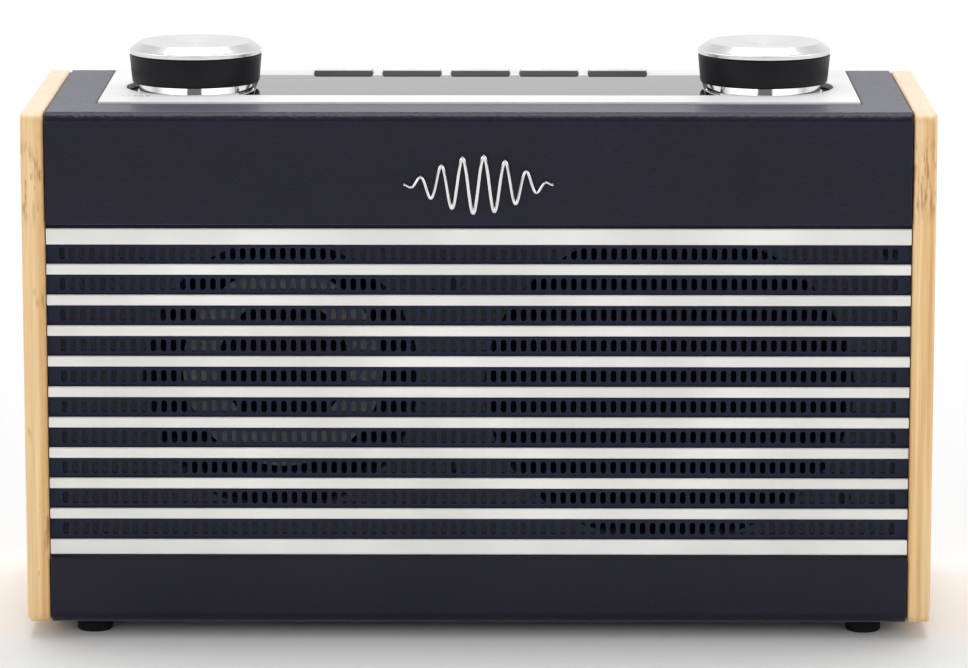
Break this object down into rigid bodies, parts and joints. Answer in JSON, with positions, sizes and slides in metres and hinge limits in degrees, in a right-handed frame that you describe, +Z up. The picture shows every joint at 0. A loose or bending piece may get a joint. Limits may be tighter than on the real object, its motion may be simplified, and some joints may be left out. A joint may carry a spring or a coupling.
{
  "type": "portable radio",
  "caption": "Portable radio with a leathercloth sleeve, bamboo end panels, striped front grille, top control plate with knobs, display and keys, and a rear battery bay and aerial",
  "frame": {"origin": "middle of the radio's width and overall depth, on the surface its feet stand on", "axes": "+X towards the radio's right as its user faces it, +Y towards its back, +Z up"},
  "size_m": [0.255, 0.1046, 0.163],
  "materials": {
    "leathercloth": "navy embossed leathercloth, satin",
    "bamboo": "light laminated bamboo, satin lacquer",
    "fibreboard": "fibreboard, black where it shows behind the grille",
    "grille": "navy perforated moulding, satin",
    "strip": "silver-white satin strip",
    "plate": "fine blasted silver anodised",
    "chrome": "polished",
    "spun_aluminium": "spun, fine circular turning lines",
    "knob_grip": "black satin moulding",
    "lens": "smoked high-gloss window",
    "key": "silver satin moulding",
    "black_plastic": "black moulding, fine spark texture",
    "cone_paper": "coated paper cone, matt",
    "rubber": "black rubber, matt",
    "circuit_board": "green solder mask",
    "steel": "zinc plated",
    "magnet": "dark ferrite and steel"
  },
  "bodies": {
    "cabinet": {"leather_cover": "leathercloth", "end_panel_left": "bamboo", "end_panel_right": "bamboo", "top_board": "fibreboard", "bottom_board": "fibreboard", "front_baffle": "fibreboard", "grille_panel": "grille", "grille_strip_01": "strip", "grille_strip_02": "strip", "grille_strip_03": "strip", "grille_strip_04": "strip", "grille_strip_05": "strip", "grille_strip_06": "strip", "grille_strip_07": "strip", "grille_strip_08": "strip", "grille_strip_09": "strip", "grille_strip_10": "strip", "grille_strip_11": "strip", "control_plate": "plate", "volume_bezel": "chrome", "tuning_bezel": "chrome", "emblem": "chrome", "display_lens": "lens", "control_chassis": "black_plastic", "rear_panel": "black_plastic", "dc_socket": "black_plastic", "headphone_socket": "black_plastic", "speaker_frame": "black_plastic", "passive_frame": "black_plastic", "display_module": "black_plastic", "speaker_cone": "cone_paper", "speaker_dust_cap": "cone_paper", "button_mat": "rubber", "passive_radiator": "rubber", "foot_front_left": "rubber", "foot_front_right": "rubber", "foot_rear_left": "rubber", "foot_rear_right": "rubber", "control_board": "circuit_board", "main_board": "circuit_board", "volume_encoder": "steel", "tuning_encoder": "steel", "battery_contacts": "steel", "speaker_magnet": "magnet"},
    "volume_shaft": {"volume_encoder_shaft": "steel"},
    "volume_knob": {"volume_knob": "knob_grip", "volume_knob_cap": "spun_aluminium"},
    "tuning_shaft": {"tuning_encoder_shaft": "steel"},
    "tuning_knob": {"tuning_knob": "knob_grip", "tuning_knob_cap": "spun_aluminium"},
    "preset_button_1": {"preset_button_1": "key"},
    "preset_button_2": {"preset_button_2": "key"},
    "preset_button_3": {"preset_button_3": "key"},
    "preset_button_4": {"preset_button_4": "key"},
    "preset_button_5": {"preset_button_5": "key"},
    "battery_door": {"battery_door": "black_plastic"},
    "aerial_swivel": {"aerial_swivel": "chrome"},
    "aerial_tube": {"aerial_tube": "chrome"},
    "aerial_middle": {"aerial_middle": "chrome"},
    "aerial_tip": {"aerial_tip": "chrome"}
  },
  "joints": [
    {"name": "volume_turn", "type": "hinge", "parent": "cabinet", "child": "volume_shaft", "pos_m": [-0.0817, 0.0031, 0.14], "axis": [0, 0, 1], "continuous": true},
    {"name": "volume_press", "type": "slide", "parent": "volume_shaft", "child": "volume_knob", "axis": [0, 0, -1], "range_m": [0, 0.0008], "stiffness_N_per_m": 600, "springref_m": -0.002},
    {"name": "tuning_turn", "type": "hinge", "parent": "cabinet", "child": "tuning_shaft", "pos_m": [0.0817, 0.0031, 0.14], "axis": [0, 0, 1], "continuous": true},
    {"name": "tuning_press", "type": "slide", "parent": "tuning_shaft", "child": "tuning_knob", "axis": [0, 0, -1], "range_m": [0, 0.0008], "stiffness_N_per_m": 600, "springref_m": -0.002},
    {"name": "preset_button_1_press", "type": "slide", "parent": "cabinet", "child": "preset_button_1", "axis": [0, 0, -1], "range_m": [0, 0.0007], "stiffness_N_per_m": 500, "springref_m": -0.001},
    {"name": "preset_button_2_press", "type": "slide", "parent": "cabinet", "child": "preset_button_2", "axis": [0, 0, -1], "range_m": [0, 0.0007], "stiffness_N_per_m": 500, "springref_m": -0.001},
    {"name": "preset_button_3_press", "type": "slide", "parent": "cabinet", "child": "preset_button_3", "axis": [0, 0, -1], "range_m": [0, 0.0007], "stiffness_N_per_m": 500, "springref_m": -0.001},
    {"name": "preset_button_4_press", "type": "slide", "parent": "cabinet", "child": "preset_button_4", "axis": [0, 0, -1], "range_m": [0, 0.0007], "stiffness_N_per_m": 500, "springref_m": -0.001},
    {"name": "preset_button_5_press", "type": "slide", "parent": "cabinet", "child": "preset_button_5", "axis": [0, 0, -1], "range_m": [0, 0.0007], "stiffness_N_per_m": 500, "springref_m": -0.001},
    {"name": "battery_door_hinge", "type": "hinge", "parent": "cabinet", "child": "battery_door", "pos_m": [0, 0.0425, 0.0192], "axis": [-1, 0, 0], "range_deg": [0, 90]},
    {"name": "aerial_swing", "type": "hinge", "parent": "cabinet", "child": "aerial_swivel", "pos_m": [0.104, 0.0491, 0.131], "axis": [0, 1, 0], "range_deg": [0, 180]},
    {"name": "aerial_tilt", "type": "hinge", "parent": "aerial_swivel", "child": "aerial_tube", "pos_m": [0.104, 0.0491, 0.131], "axis": [0, 0, -1], "range_deg": [0, 90]},
    {"name": "aerial_middle_slide", "type": "slide", "parent": "aerial_tube", "child": "aerial_middle", "axis": [-1, 0, 0], "range_m": [0, 0.14]},
    {"name": "aerial_tip_slide", "type": "slide", "parent": "aerial_middle", "child": "aerial_tip", "axis": [-1, 0, 0], "range_m": [0, 0.135]}
  ]
}
